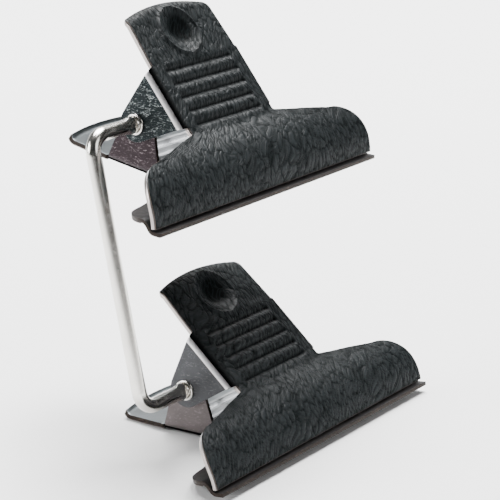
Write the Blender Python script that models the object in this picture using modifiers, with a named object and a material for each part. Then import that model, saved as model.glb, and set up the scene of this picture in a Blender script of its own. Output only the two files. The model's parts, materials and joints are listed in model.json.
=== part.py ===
"""Twin spring clip: two wide sheet-steel clips that swivel on the legs of one bent rod.

Each clip has two pressed plates with a leatherette skin on their outer faces. The plates'
ears nest inside one another, a flanged eyelet joins each pair of ears, and a torsion
spring between the ears drives the handles apart and the lips together. The rod's legs
run through the eyelets, and pinched stretches of the rod keep each clip on its leg.

A clip is drawn around its pivot: X runs along the pivot, the lips point to -Y, and the
outer plate is on top. Sizes are in millimetres until an object is made.
"""

import math

import bmesh
import bpy
from mathutils import Vector

MM = 0.001

# Overall sizes
JAW_WIDTH = 100.0
HANDLE_WIDTH = 36.9
TIP_WIDTH = 35.0
LEG_SPACING = 74.0
ROD_DIAMETER = 4.0

# Sheet and skin
PLATE_THICKNESS = 1.0
SKIN_THICKNESS = 0.4
SKIN_GAP = 0.15
SKIN_INSET = 0.3

# Handle, seen from the side
HANDLE_ANGLE = 21.0
PIVOT_ROOM = 12.2
HANDLE_BACK = 24.5
HANDLE_FRONT = 10.5
CURL_RADIUS = 3.0
CURL_TURN = 50.0
CURL_EDGE = 0.5

# Handle, seen from above
TIP_SAG = 2.8
TIP_SAG_LENGTH = 12.0
TIP_CORNER = 1.5

# Neck and shoulders
NECK_RADIUS = 6.0
OUTER_NECK_RISE = 8.0
INNER_NECK_RISE = 3.0
NECK_WIDTH = 37.0
OUTER_NECK_FORWARD = 15.7
INNER_NECK_FORWARD = 17.1
SHOULDER_SLOPE = 14.5
SHOULDER_CORNER = 11.0

# Jaw of the outer plate
OUTER_JAW_RADIUS = 17.0
OUTER_JAW_TURN = 66.7

# Jaw of the inner plate, ending in a gutter under the outer lip
INNER_JAW_RADIUS = 9.0
INNER_JAW_TURN = 39.0
INNER_JAW_FLAT = 8.5
GUTTER_RADIUS = 2.5
GUTTER_ENTRY_TURN = 56.0
GUTTER_ENTRY_FLAT = 1.2
GUTTER_TURN = 48.0
GUTTER_LIP = 2.0
GUTTER_SKIN_STOP = 8.0

# Pressed relief in the handles
GROOVE_COUNT = 5
GROOVE_PITCH = 4.15
GROOVE_CENTRE = 0.9
GROOVE_DEPTH = 0.5
GROOVE_HALF_WIDTH = 1.0
GROOVE_REACH = 14.5
DIMPLE_BACK = 17.8
DIMPLE_RADIUS = 7.2
DIMPLE_DEPTH = 0.9

# Ears
EAR_LENGTH = 18.4
EAR_END_RADIUS = 5.0
EAR_BEND_RADIUS = 2.0
EAR_SPAN = 40.4
EAR_CLEARANCE = 0.3
SKIN_EAR_MARGIN = 0.9

# Eyelets
EYELET_WALL = 0.45
EYELET_FLANGE = 0.45
EYELET_FLANGE_THICKNESS = 0.55
ROD_CLEARANCE = 0.1
EYELET_CLEARANCE = 0.12
FACE_CLEARANCE = 0.15

# Rod
BEND_RADIUS = 5.0
LEG_REACH = 18.6
LEG_END = 1.6
PINCH_LENGTH = 3.2
PINCH_RAMP = 0.7
PINCH_GAP = 0.5
PINCH_HEIGHT = 1.22
PINCH_WIDTH = 0.76

# Spring
WIRE_DIAMETER = 1.5
SPRING_TURNS = 6
SPRING_PITCH = 2.2
SPRING_BORE_GAP = 0.6
SPRING_LEG_BACK = 13.0
SPRING_LEG_GAP = 0.3

# Stance
ROD_LEAN = 12.0
UPPER_CLIP_PITCH = 31.0

PARTS = "twin_spring_clip"
CUTTERS = "cutters"


# ---------------------------------------------------------------- side view of a plate

def pivot_depth():
    """Distance from the pivot to the outer face of a handle."""
    return PIVOT_ROOM + PLATE_THICKNESS


class Profile:
    """The outer face of a plate seen from the side, as stretches of (length, turn)."""

    def __init__(self, stretches, heading):
        self.pieces = []
        start = (0.0, 0.0, math.radians(heading), 0.0)
        for length, turn in stretches:
            self.pieces.append((start, length, math.radians(turn) / length))
            start = self._move(start, length, math.radians(turn) / length)
        self.length = start[3]

    @staticmethod
    def _move(start, run, bend):
        forward, up, heading, travelled = start
        if abs(bend) < 1e-9:
            forward += run * math.cos(heading)
            up += run * math.sin(heading)
        else:
            ahead = heading + bend * run
            forward += (math.sin(ahead) - math.sin(heading)) / bend
            up -= (math.cos(ahead) - math.cos(heading)) / bend
        return (forward, up, heading + bend * run, travelled + run)

    def at(self, travelled):
        """Forward, up and heading at a distance along the profile."""
        for start, length, bend in self.pieces:
            run = travelled - start[3]
            if run <= length + 1e-6:
                break
        return self._move(start, run, bend)[:3]

    def ends(self):
        """Distances at which the stretches begin and end."""
        return [piece[0][3] for piece in self.pieces] + [self.length]


def arc(radius, turn):
    """A round stretch of a profile."""
    return (math.radians(abs(turn)) * radius, turn)


def line(length):
    """A straight stretch of a profile."""
    return (length, 0.0)


def handle_stretches(neck_rise):
    """The stretches from the curled edge to the neck, which ends at a slope of its own."""
    return [
        line(CURL_EDGE),
        arc(CURL_RADIUS, -CURL_TURN),
        line(HANDLE_BACK + HANDLE_FRONT),
        arc(NECK_RADIUS, HANDLE_ANGLE + neck_rise),
    ]


def outer_profile():
    """Side view of the plate on top, whose lip drops into the other plate's gutter."""
    stretches = handle_stretches(OUTER_NECK_RISE) + [arc(OUTER_JAW_RADIUS, -OUTER_JAW_TURN)]
    return Profile(stretches, CURL_TURN - HANDLE_ANGLE)


def inner_profile():
    """Side view of the plate below, drawn upside down."""
    stretches = handle_stretches(INNER_NECK_RISE) + [
        arc(INNER_JAW_RADIUS, -INNER_JAW_TURN),
        line(INNER_JAW_FLAT),
        arc(GUTTER_RADIUS, GUTTER_ENTRY_TURN),
        line(GUTTER_ENTRY_FLAT),
        arc(GUTTER_RADIUS, -GUTTER_TURN),
        line(GUTTER_LIP),
    ]
    return Profile(stretches, CURL_TURN - HANDLE_ANGLE)


# ---------------------------------------------------------------- one plate's sheet

def smooth_step(value):
    """A soft ramp from 0 to 1."""
    value = min(max(value, 0.0), 1.0)
    return value * value * (3.0 - 2.0 * value)


def spread(start, end, count):
    """Evenly spaced values from start to end, leaving out the start."""
    return [start + (end - start) * step / count for step in range(1, count + 1)]


class Sheet:
    """Maps a place on a flat sheet to the pressed plate around its pivot."""

    def __init__(self, profile, ear_span, neck_forward, jaw_counts):
        self.profile = profile
        self.ear_span = ear_span
        self.neck_forward = neck_forward
        self.jaw_counts = jaw_counts
        self.knots = profile.ends()
        self.foot = self.knots[2] + HANDLE_BACK
        angle = math.radians(HANDLE_ANGLE)
        foot_forward, foot_up, _ = profile.at(self.foot)
        self.shift_forward = pivot_depth() * math.sin(angle) - foot_forward
        self.shift_up = pivot_depth() * math.cos(angle) - foot_up
        self.along = (math.cos(angle), -math.sin(angle))

    def rows(self):
        """Distances along the profile where the sheet has a row of points."""
        knots = self.knots
        ear_half = EAR_LENGTH / 2
        rows = [0.0]
        rows += spread(knots[0], knots[1], 1)
        rows += spread(knots[1], knots[2], 4)
        rows += spread(knots[2], self.foot - ear_half, 5)
        for index in range(GROOVE_COUNT):
            centre = self.foot + groove_place(index)
            for side in (-1, 0, 1):
                rows.append(centre + side * GROOVE_HALF_WIDTH)
        rows.append(self.foot + ear_half)
        rows.append(knots[3])
        for start, end, count in zip(knots[3:], knots[4:], self.jaw_counts):
            rows += spread(start, end, count)
        return sorted(set(round(row, 5) for row in rows))

    def columns(self):
        """Shares of the half width where the sheet has a column of points."""
        half = HANDLE_WIDTH / 2
        inner = [DIMPLE_RADIUS * 0.55 / half, DIMPLE_RADIUS * 1.1 / half, GROOVE_REACH / half, 1.0]
        return [-share for share in reversed(inner)] + [0.0] + inner

    def half_width(self, row):
        """Half the sheet's width at a distance along the profile."""
        ear_start = self.foot - EAR_LENGTH / 2
        if row < ear_start - 0.01:
            handle = TIP_WIDTH / 2 + (HANDLE_WIDTH - TIP_WIDTH) / 2 * row / ear_start
            corner = max(TIP_CORNER - row, 0.0)
            return handle - TIP_CORNER + math.sqrt(TIP_CORNER ** 2 - corner ** 2)
        if row < self.foot + EAR_LENGTH / 2 + 0.01:
            return self.ear_span / 2 - EAR_BEND_RADIUS
        forward = self.place_2d(row, 0.0)[0]
        neck = min(NECK_WIDTH / 2, self.ear_span / 2 - EAR_BEND_RADIUS + 0.6)
        corner_x = JAW_WIDTH / 2 - SHOULDER_CORNER
        slope = math.tan(math.radians(SHOULDER_SLOPE))
        shoulder = self.neck_forward + (corner_x - neck) * slope
        if forward < self.neck_forward:
            return neck
        if forward < shoulder:
            return neck + (forward - self.neck_forward) / slope
        left = max(shoulder + SHOULDER_CORNER - forward, 0.0)
        return corner_x + math.sqrt(SHOULDER_CORNER ** 2 - min(left, SHOULDER_CORNER) ** 2)

    def place_2d(self, row, depth):
        """Forward and up of a row, at a height above the plate's outer face."""
        forward, up, heading = self.profile.at(row)
        forward += self.shift_forward - math.sin(heading) * depth
        up += self.shift_up + math.cos(heading) * depth
        return forward, up

    def relief(self, x, row):
        """Height of the pressed grooves and the thumb dimple."""
        place = row - self.foot
        reach = math.hypot(x, place + DIMPLE_BACK) / DIMPLE_RADIUS
        if reach < 1.0:
            return -DIMPLE_DEPTH * 0.5 * (1.0 + math.cos(math.pi * reach))
        if abs(x) < GROOVE_REACH + 0.01:
            for index in range(GROOVE_COUNT):
                off = abs(place - groove_place(index)) / GROOVE_HALF_WIDTH
                if off < 1.0:
                    return -GROOVE_DEPTH * (1.0 - off)
        return 0.0

    def place(self, x, row, depth):
        """The point of the pressed sheet at x and row, at a height above its outer face."""
        forward, up = self.place_2d(row, depth + self.relief(x, row))
        sag = TIP_SAG * (2.0 * x / HANDLE_WIDTH) ** 2
        sag *= 1.0 - smooth_step((row - self.knots[2]) / TIP_SAG_LENGTH)
        forward += sag * self.along[0]
        up += sag * self.along[1]
        return Vector((x, -forward, up))

    def ear_ring(self, side, depth, swing):
        """Ear points at a depth below the outer face, or at an angle round the ear's bend."""
        outer = self.ear_span / 2
        x = outer
        if swing is not None:
            x = outer - EAR_BEND_RADIUS * (1.0 - math.sin(swing))
            depth = EAR_BEND_RADIUS * (1.0 - math.cos(swing))
        share = ear_half_width(depth) / (EAR_LENGTH / 2)
        points = []
        for row in self.ear_rows():
            place = self.foot + (row - self.foot) * share
            forward, up = self.place_2d(place, -depth)
            points.append(Vector((side * x, -forward, up)))
        return points

    def ear_rows(self):
        """The rows of the sheet that carry the ears."""
        half = EAR_LENGTH / 2 + 0.01
        return [row for row in self.rows() if abs(row - self.foot) < half]


def groove_place(index):
    """A groove's distance in front of the pivot's foot on the handle."""
    return GROOVE_CENTRE + (index - (GROOVE_COUNT - 1) / 2) * GROOVE_PITCH


def ear_half_width(depth):
    """Half the ear's width at a depth: a taper that runs into the round end."""
    root = EAR_LENGTH / 2
    reach = math.hypot(root, pivot_depth())
    lean = math.atan2(root, pivot_depth()) - math.asin(EAR_END_RADIUS / reach)
    touch = pivot_depth() + EAR_END_RADIUS * math.sin(lean)
    if depth < touch:
        return root - depth * math.tan(lean)
    drop = min(depth - pivot_depth(), EAR_END_RADIUS * 0.985)
    return math.sqrt(EAR_END_RADIUS ** 2 - drop ** 2)


def ear_steps():
    """Angles round the ear's bend, then depths down to the round end."""
    bend = [(0.0, math.radians(angle)) for angle in (30.0, 60.0, 90.0)]
    end = [math.sin(math.radians(angle)) for angle in (15.0, 40.0, 60.0, 80.0)]
    flat = [pivot_depth() - EAR_END_RADIUS] + [pivot_depth() + EAR_END_RADIUS * step for step in end]
    return bend + [(depth, None) for depth in flat]


# ---------------------------------------------------------------- meshes and objects

def make_collection(name):
    """A collection in the scene."""
    collection = bpy.data.collections.new(name)
    bpy.context.scene.collection.children.link(collection)
    return collection


def make_material(name, colour, roughness, metallic):
    """A Principled material."""
    material = bpy.data.materials.new(name)
    material.use_nodes = True
    shader = material.node_tree.nodes["Principled BSDF"]
    shader.inputs["Base Color"].default_value = (*colour, 1.0)
    shader.inputs["Roughness"].default_value = roughness
    shader.inputs["Metallic"].default_value = metallic
    return material


def make_object(name, data, collection, parent, material=None):
    """An object in a collection, placed on its parent."""
    obj = bpy.data.objects.new(name, data)
    collection.objects.link(obj)
    obj.parent = parent
    if material:
        data.materials.append(material)
    return obj


def finish_mesh(bm, name, upside_down):
    """Turn a bmesh around its pivot into mesh data in metres, with its faces outward."""
    if upside_down:
        for vert in bm.verts:
            vert.co.z = -vert.co.z
    else:
        bmesh.ops.reverse_faces(bm, faces=bm.faces)
    for vert in bm.verts:
        vert.co *= MM
    mesh = bpy.data.meshes.new(name)
    bm.to_mesh(mesh)
    bm.free()
    mesh.shade_smooth()
    mesh.set_sharp_from_angle(angle=math.radians(35))
    return mesh


def grid_bmesh(rows, columns, place):
    """A grid of points, one row of columns at each distance, put where place says."""
    bm = bmesh.new()
    bmesh.ops.create_grid(
        bm, x_segments=len(columns) - 1, y_segments=len(rows) - 1, size=0.5)
    for vert in bm.verts:
        column = columns[round((vert.co.x + 0.5) * (len(columns) - 1))]
        row = rows[round((vert.co.y + 0.5) * (len(rows) - 1))]
        vert.co = place(column, row)
    return bm


def fold_ear(bm, sheet, side):
    """Extrude one ear from the edge of the sheet, round its bend and down past the pivot."""
    half = sheet.ear_span / 2 - EAR_BEND_RADIUS
    rows = sheet.ear_rows()
    ends = [-sheet.place(0.0, row, 0.0).y for row in (rows[0], rows[-1])]

    def on_edge(vert):
        inside = ends[0] - 0.01 < -vert.co.y < ends[1] + 0.01
        return inside and abs(vert.co.x - side * half) < 0.01

    edges = [edge for edge in bm.edges if edge.is_boundary and all(map(on_edge, edge.verts))]
    for depth, swing in ear_steps():
        made = bmesh.ops.extrude_edge_only(bm, edges=edges)["geom"]
        verts = [item for item in made if isinstance(item, bmesh.types.BMVert)]
        verts.sort(key=lambda vert: -vert.co.y)
        for vert, point in zip(verts, sheet.ear_ring(side, depth, swing)):
            vert.co = point
        fresh = set(verts)
        edges = [
            item for item in made
            if isinstance(item, bmesh.types.BMEdge) and fresh.issuperset(item.verts)]


def add_solidify(obj, thickness, offset):
    """Give an open sheet its thickness."""
    solidify = obj.modifiers.new("thickness", "SOLIDIFY")
    solidify.thickness = thickness * MM
    solidify.offset = offset
    solidify.use_even_offset = True


def add_cut(obj, cutter):
    """Cut a hole."""
    cut = obj.modifiers.new("hole", "BOOLEAN")
    cut.operation = "DIFFERENCE"
    cut.solver = "EXACT"
    cut.object = cutter


def add_merge_flats(obj):
    """Merge the faces of flat stretches."""
    merge = obj.modifiers.new("merge_flats", "DECIMATE")
    merge.decimate_type = "DISSOLVE"
    merge.angle_limit = math.radians(0.1)
    merge.use_dissolve_boundaries = False


# ---------------------------------------------------------------- pieces of a clip

def make_plate(name, sheet, upside_down, hole, parent, collection, material):
    """A pressed plate with its two ears."""
    def place(share, row):
        return sheet.place(share * sheet.half_width(row), row, 0.0)

    bm = grid_bmesh(sheet.rows(), sheet.columns(), place)
    for side in (-1, 1):
        fold_ear(bm, sheet, side)
    plate = make_object(name, finish_mesh(bm, name, upside_down), collection, parent, material)
    add_solidify(plate, PLATE_THICKNESS, -1.0)
    add_cut(plate, hole)
    add_merge_flats(plate)
    return plate


def make_skin(name, sheet, upside_down, stop, parent, collection, material):
    """The leatherette on a plate's outer face, from the curl to near the lip."""
    start = sheet.knots[1] + 0.01
    rows = [row for row in sheet.rows() if start < row < sheet.profile.length - stop]

    def place(share, row):
        width = sheet.half_width(row) - SKIN_INSET
        if abs(row - sheet.foot) < EAR_LENGTH / 2 + 0.01:
            width = sheet.ear_span / 2 - EAR_BEND_RADIUS - SKIN_EAR_MARGIN
        return sheet.place(share * width, row, SKIN_GAP)

    bm = grid_bmesh(rows, sheet.columns(), place)
    skin = make_object(name, finish_mesh(bm, name, upside_down), collection, parent, material)
    add_solidify(skin, SKIN_THICKNESS, 1.0)
    add_merge_flats(skin)
    return skin


def eyelet_bore():
    """Radius of the hole through an eyelet."""
    return ROD_DIAMETER / 2 + ROD_CLEARANCE


def eyelet_barrel():
    """Outer radius of an eyelet's barrel."""
    return eyelet_bore() + EYELET_WALL


def eyelet_inner_face():
    """Distance from the clip's middle to the inner end of an eyelet's barrel."""
    inner_ear = EAR_SPAN / 2 - 2 * PLATE_THICKNESS - EAR_CLEARANCE
    return inner_ear - FACE_CLEARANCE - EYELET_FLANGE_THICKNESS


def eyelet_outer_face():
    """Distance from the clip's middle to the outer face of an eyelet's flange."""
    return EAR_SPAN / 2 + FACE_CLEARANCE + EYELET_FLANGE_THICKNESS


def make_hole_cutter(name, parent, collection):
    """A cylinder that cuts the eyelets' holes through the ears."""
    bm = bmesh.new()
    bmesh.ops.create_cone(
        bm, cap_ends=True, segments=32,
        radius1=(eyelet_barrel() + EYELET_CLEARANCE) * MM,
        radius2=(eyelet_barrel() + EYELET_CLEARANCE) * MM, depth=EAR_SPAN * 1.5 * MM)
    mesh = bpy.data.meshes.new(name)
    bm.to_mesh(mesh)
    bm.free()
    cutter = make_object(name, mesh, collection, parent)
    cutter.rotation_euler = (0.0, math.radians(90), 0.0)
    cutter.hide_render = True
    cutter.display_type = "WIRE"
    return cutter


def make_eyelet_mesh():
    """Half section of a flanged eyelet, for a Screw modifier about its axis."""
    bore = eyelet_bore()
    barrel = eyelet_barrel()
    flange = barrel + EYELET_FLANGE
    inner = eyelet_inner_face()
    outer = eyelet_outer_face()
    thick = EYELET_FLANGE_THICKNESS
    section = [
        (bore + 0.15, outer),
        (flange - 0.2, outer),
        (flange, outer - 0.2),
        (flange, outer - thick),
        (barrel, outer - thick),
        (barrel, inner + thick),
        (flange, inner + thick),
        (flange, inner + 0.2),
        (flange - 0.2, inner),
        (bore, inner),
        (bore, outer - 0.3),
    ]
    bm = bmesh.new()
    verts = [bm.verts.new((radius * MM, 0.0, along * MM)) for radius, along in section]
    for first, second in zip(verts, verts[1:] + verts[:1]):
        bm.edges.new((first, second))
    mesh = bpy.data.meshes.new("eyelet")
    bm.to_mesh(mesh)
    bm.free()
    return mesh


def make_eyelet(name, mesh, side, parent, collection):
    """A turned eyelet that joins one pair of ears."""
    eyelet = make_object(name, mesh, collection, parent)
    eyelet.rotation_euler = (0.0, math.radians(90 * side), 0.0)
    screw = eyelet.modifiers.new("turn", "SCREW")
    screw.axis = "Z"
    screw.steps = 24
    screw.render_steps = 24
    screw.use_merge_vertices = True
    screw.merge_threshold = 0.00001
    return eyelet


def spring_points():
    """The spring's wire: a leg under one handle, the coil, and a leg under the other."""
    coil = ROD_DIAMETER / 2 + SPRING_BORE_GAP + WIRE_DIAMETER / 2
    steps = 12
    half_run = SPRING_TURNS * SPRING_PITCH / 2
    rest = PIVOT_ROOM - SPRING_LEG_GAP - WIRE_DIAMETER / 2 - GROOVE_DEPTH
    angle = math.radians(HANDLE_ANGLE)
    toe_forward = rest * math.sin(angle) - SPRING_LEG_BACK * math.cos(angle)
    toe_up = rest * math.cos(angle) + SPRING_LEG_BACK * math.sin(angle)
    reach = math.hypot(toe_forward, toe_up)
    toe = math.atan2(toe_up, -toe_forward)
    leave = toe + math.acos(coil / reach)
    swing = 2 * math.pi * SPRING_TURNS - 2 * leave
    count = round(steps * swing / (2 * math.pi))
    points = [Vector((-half_run, -toe_forward, toe_up))]
    for step in range(count + 1):
        turn = leave + (2 * math.pi * SPRING_TURNS - 2 * leave) * step / count
        x = -half_run + 2 * half_run * step / count
        points.append(Vector((x, coil * math.cos(turn), coil * math.sin(turn))))
    points.append(Vector((half_run, -toe_forward, -toe_up)))
    return points


def make_wire(name, points, diameter, resolution, collection, parent, material):
    """A round wire along straight runs between points, as a welded mesh."""
    curve = bpy.data.curves.new(name + "_path", "CURVE")
    curve.dimensions = "3D"
    curve.bevel_depth = diameter / 2 * MM
    curve.bevel_resolution = resolution
    curve.use_fill_caps = True
    spline = curve.splines.new("POLY")
    spline.points.add(len(points) - 1)
    for spot, point in zip(spline.points, points):
        spot.co = (*(point * MM), 1.0)
    path = make_object(name + "_path", curve, collection, parent)
    bpy.context.view_layer.update()
    graph = bpy.context.evaluated_depsgraph_get()
    mesh = bpy.data.meshes.new_from_object(path.evaluated_get(graph))
    bpy.data.objects.remove(path)
    bm = bmesh.new()
    bm.from_mesh(mesh)
    bmesh.ops.remove_doubles(bm, verts=bm.verts, dist=0.000001)
    bmesh.ops.recalc_face_normals(bm, faces=bm.faces)
    bm.to_mesh(mesh)
    bm.free()
    mesh.shade_smooth()
    mesh.set_sharp_from_angle(angle=math.radians(35))
    mesh.materials.clear()
    return make_object(name, mesh, collection, parent, material)


def make_clip(tag, parent, collections, materials):
    """All the pieces of one clip around its pivot."""
    parts, cutters = collections
    steel, leatherette, zinc, spring_steel = materials
    hole = make_hole_cutter(tag + "_hole_cutter", parent, cutters)
    outer = outer_sheet()
    inner = inner_sheet()
    make_plate(tag + "_top_plate", outer, False, hole, parent, parts, steel)
    make_plate(tag + "_bottom_plate", inner, True, hole, parent, parts, steel)
    make_skin(tag + "_top_leatherette", outer, False, -0.01, parent, parts, leatherette)
    make_skin(
        tag + "_bottom_leatherette", inner, True, GUTTER_SKIN_STOP, parent, parts, leatherette)
    eyelet_mesh = make_eyelet_mesh()
    eyelet_mesh.materials.append(zinc)
    make_eyelet(tag + "_left_eyelet", eyelet_mesh, -1, parent, parts)
    make_eyelet(tag + "_right_eyelet", eyelet_mesh, 1, parent, parts)
    make_wire(
        tag + "_torsion_spring", spring_points(), WIRE_DIAMETER, 2, parts, parent, spring_steel)


def outer_sheet():
    """The sheet of the plate on top."""
    return Sheet(outer_profile(), EAR_SPAN, OUTER_NECK_FORWARD, (3, 9))


def inner_sheet():
    """The sheet of the plate below, whose ears fit inside the other's."""
    span = EAR_SPAN - 2 * (PLATE_THICKNESS + EAR_CLEARANCE)
    return Sheet(inner_profile(), span, INNER_NECK_FORWARD, (3, 4, 2, 3, 1, 3, 1))


# ---------------------------------------------------------------- the rod

def pinch_places():
    """Where each leg is pinched, as the ends of two stretches along X."""
    near = eyelet_outer_face() + PINCH_GAP
    return [(-near - PINCH_LENGTH, -near), (near, near + PINCH_LENGTH)]


def leg_points(height, towards):
    """Points of one leg from its free end to its bend, at a height along the rod."""
    corner = -(EAR_SPAN / 2 + LEG_REACH)
    free = eyelet_outer_face() + PINCH_GAP + PINCH_LENGTH + LEG_END
    stops = [free]
    for low, high in reversed(pinch_places()):
        stops += [high, high - PINCH_RAMP, low + PINCH_RAMP, low]
    points = [Vector((x, 0.0, height)) for x in stops]
    for step in range(7):
        turn = math.radians(90) * step / 6
        points.append(Vector((
            corner + BEND_RADIUS * (1.0 - math.sin(turn)), 0.0,
            height + towards * BEND_RADIUS * (1.0 - math.cos(turn)))))
    return points


def make_rod(collection, parent, material):
    """The bent rod: a leg through each clip and one long side between them."""
    points = leg_points(0.0, 1) + leg_points(LEG_SPACING, -1)[::-1]
    rod = make_wire("link_rod", points, ROD_DIAMETER, 6, collection, parent, material)
    for low, high in pinch_places():
        for vert in rod.data.vertices:
            if not low + PINCH_RAMP * 0.5 < vert.co.x / MM < high - PINCH_RAMP * 0.5:
                continue
            axis = 0.0 if vert.co.z < LEG_SPACING * 0.5 * MM else LEG_SPACING * MM
            vert.co.z = axis + (vert.co.z - axis) * PINCH_HEIGHT
            vert.co.y *= PINCH_WIDTH
    return rod


# ---------------------------------------------------------------- stance

def underside_points():
    """Side-view points of the lower clip that can touch the surface it stands on."""
    sheet = inner_sheet()
    points = []
    for row in sheet.rows():
        skinned = sheet.knots[1] < row < sheet.profile.length - GUTTER_SKIN_STOP
        depth = SKIN_GAP + SKIN_THICKNESS if skinned else 0.0
        forward, up = sheet.place_2d(row, depth)
        points.append((forward, -up))
    return points


def resting_pitch():
    """The pitch at which the lower clip's curl and gutter stand level."""
    points = underside_points()
    pitch = math.radians(HANDLE_ANGLE)
    for _ in range(20):
        def height(point, pitch=pitch):
            return point[1] * math.cos(pitch) - point[0] * math.sin(pitch)
        back = min((point for point in points if point[0] < 0), key=height)
        front = min((point for point in points if point[0] > 0), key=height)
        pitch = math.atan2(front[1] - back[1], front[0] - back[0])
    return pitch


def make_empty(name, parent, location, pitch):
    """An empty on a pivot, pitched about it."""
    empty = make_object(name, None, bpy.context.scene.collection, parent)
    empty.location = [value * MM for value in location]
    empty.rotation_euler = (pitch, 0.0, 0.0)
    return empty


def stand_on_origin(base, collection):
    """Move everything so that the box's bottom centre is the origin."""
    bpy.context.view_layer.update()
    graph = bpy.context.evaluated_depsgraph_get()
    corners = []
    for obj in collection.objects:
        shown = obj.evaluated_get(graph)
        mesh = shown.to_mesh()
        corners += [shown.matrix_world @ vert.co for vert in mesh.vertices]
        shown.to_mesh_clear()
    low = [min(corner[axis] for corner in corners) for axis in range(3)]
    high = [max(corner[axis] for corner in corners) for axis in range(3)]
    base.location = (-(low[0] + high[0]) / 2, -(low[1] + high[1]) / 2, -low[2])


def main():
    """Build the twin clip."""
    for obj in list(bpy.data.objects):
        bpy.data.objects.remove(obj)
    collections = (make_collection(PARTS), make_collection(CUTTERS))
    steel = make_material("pressed_steel", (0.42, 0.41, 0.40), 0.38, 0.9)
    leatherette = make_material("black_leatherette", (0.028, 0.034, 0.036), 0.55, 0.0)
    zinc = make_material("bright_zinc", (0.74, 0.73, 0.71), 0.2, 1.0)
    spring_steel = make_material("spring_steel", (0.35, 0.34, 0.33), 0.3, 1.0)
    materials = (steel, leatherette, zinc, spring_steel)

    lean = math.radians(ROD_LEAN)
    base = make_empty("base", None, (0.0, 0.0, 0.0), 0.0)
    lower_pivot = make_empty("lower_clip_pivot", base, (0.0, 0.0, 0.0), resting_pitch())
    top = (0.0, LEG_SPACING * math.sin(lean), LEG_SPACING * math.cos(lean))
    upper_pivot = make_empty("upper_clip_pivot", base, top, math.radians(UPPER_CLIP_PITCH))
    rod_pivot = make_empty("rod_pivot", base, (0.0, 0.0, 0.0), -lean)

    make_clip("lower_clip", lower_pivot, collections, materials)
    make_clip("upper_clip", upper_pivot, collections, materials)
    make_rod(collections[0], rod_pivot, zinc)
    stand_on_origin(base, collections[0])


main()
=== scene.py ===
"""Looks of the twin spring clip: fine pressed plates, grained leatherette and bright metal.

Each clip is drawn around its pivot, as in the CAD: X runs along the pivot, the lips point
to -Y, and the outer plate is on top. Sizes are in millimetres until a mesh is made.
"""

import json
import math

import bmesh
import bpy
import numpy as np
from mathutils import Euler, Matrix, Vector


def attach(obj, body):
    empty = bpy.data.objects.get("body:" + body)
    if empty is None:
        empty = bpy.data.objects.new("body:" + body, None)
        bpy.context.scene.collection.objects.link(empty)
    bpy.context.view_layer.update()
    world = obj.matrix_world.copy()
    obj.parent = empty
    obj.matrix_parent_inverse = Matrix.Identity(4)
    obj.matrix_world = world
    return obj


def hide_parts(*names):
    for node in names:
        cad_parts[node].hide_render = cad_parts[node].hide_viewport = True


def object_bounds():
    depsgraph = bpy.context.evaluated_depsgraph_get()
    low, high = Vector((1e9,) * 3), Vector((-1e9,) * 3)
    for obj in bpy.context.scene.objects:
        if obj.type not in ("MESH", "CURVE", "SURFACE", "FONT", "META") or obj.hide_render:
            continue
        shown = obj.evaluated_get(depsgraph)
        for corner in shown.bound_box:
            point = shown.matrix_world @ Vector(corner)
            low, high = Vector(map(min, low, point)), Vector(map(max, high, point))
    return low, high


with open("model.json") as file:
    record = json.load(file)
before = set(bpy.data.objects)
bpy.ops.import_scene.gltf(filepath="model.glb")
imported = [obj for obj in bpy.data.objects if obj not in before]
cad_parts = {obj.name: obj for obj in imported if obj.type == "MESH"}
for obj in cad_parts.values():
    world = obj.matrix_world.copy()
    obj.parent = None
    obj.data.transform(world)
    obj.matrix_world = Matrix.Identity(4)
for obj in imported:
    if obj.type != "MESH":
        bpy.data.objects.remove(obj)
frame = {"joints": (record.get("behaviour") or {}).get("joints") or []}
cad_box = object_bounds()

MM = 0.001

# The CAD's sizes
JAW_WIDTH = 100.0
HANDLE_WIDTH = 36.9
TIP_WIDTH = 35.0
ROD_DIAMETER = 4.0
PLATE_THICKNESS = 1.0
SKIN_THICKNESS = 0.4
SKIN_GAP = 0.15
HANDLE_ANGLE = 21.0
PIVOT_DEPTH = 13.2
HANDLE_BACK = 24.5
HANDLE_FRONT = 10.5
CURL_RADIUS = 3.0
CURL_TURN = 50.0
TIP_SAG = 2.8
TIP_SAG_LENGTH = 12.0
TIP_CORNER = 1.5
NECK_RADIUS = 6.0
OUTER_NECK_RISE = 8.0
INNER_NECK_RISE = 3.0
NECK_WIDTH = 37.0
OUTER_NECK_FORWARD = 15.7
INNER_NECK_FORWARD = 17.1
SHOULDER_SLOPE = 14.5
SHOULDER_CORNER = 11.0
OUTER_JAW_RADIUS = 17.0
OUTER_JAW_TURN = 66.7
INNER_JAW_RADIUS = 9.0
INNER_JAW_TURN = 39.0
INNER_JAW_FLAT = 8.5
GUTTER_RADIUS = 2.5
GUTTER_ENTRY_TURN = 56.0
GUTTER_ENTRY_FLAT = 1.2
GUTTER_TURN = 48.0
GUTTER_LIP = 2.0
GUTTER_SKIN_STOP = 8.0
EAR_LENGTH = 18.4
EAR_END_RADIUS = 5.0
EAR_BEND_RADIUS = 2.0
EAR_SPAN = 40.4
EAR_CLEARANCE = 0.3
EYELET_WALL = 0.45
EYELET_FLANGE = 0.45
EYELET_FLANGE_THICKNESS = 0.55
ROD_CLEARANCE = 0.1
EYELET_CLEARANCE = 0.12
FACE_CLEARANCE = 0.15
BEND_RADIUS = 5.0
LEG_REACH = 18.6
LEG_END = 1.6
PINCH_LENGTH = 3.2
PINCH_GAP = 0.5
WIRE_DIAMETER = 1.5
SPRING_TURNS = 6
SPRING_PITCH = 2.2
SPRING_BORE_GAP = 0.6
SPRING_LEG_BACK = 13.0
SPRING_LEG_GAP = 0.3
LOWER_CLIP_PITCH = 19.2010
UPPER_CLIP_PITCH = 31.0

# The handle's curled edge, a little shorter than the CAD's
CURL_EDGE = 0.45

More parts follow.
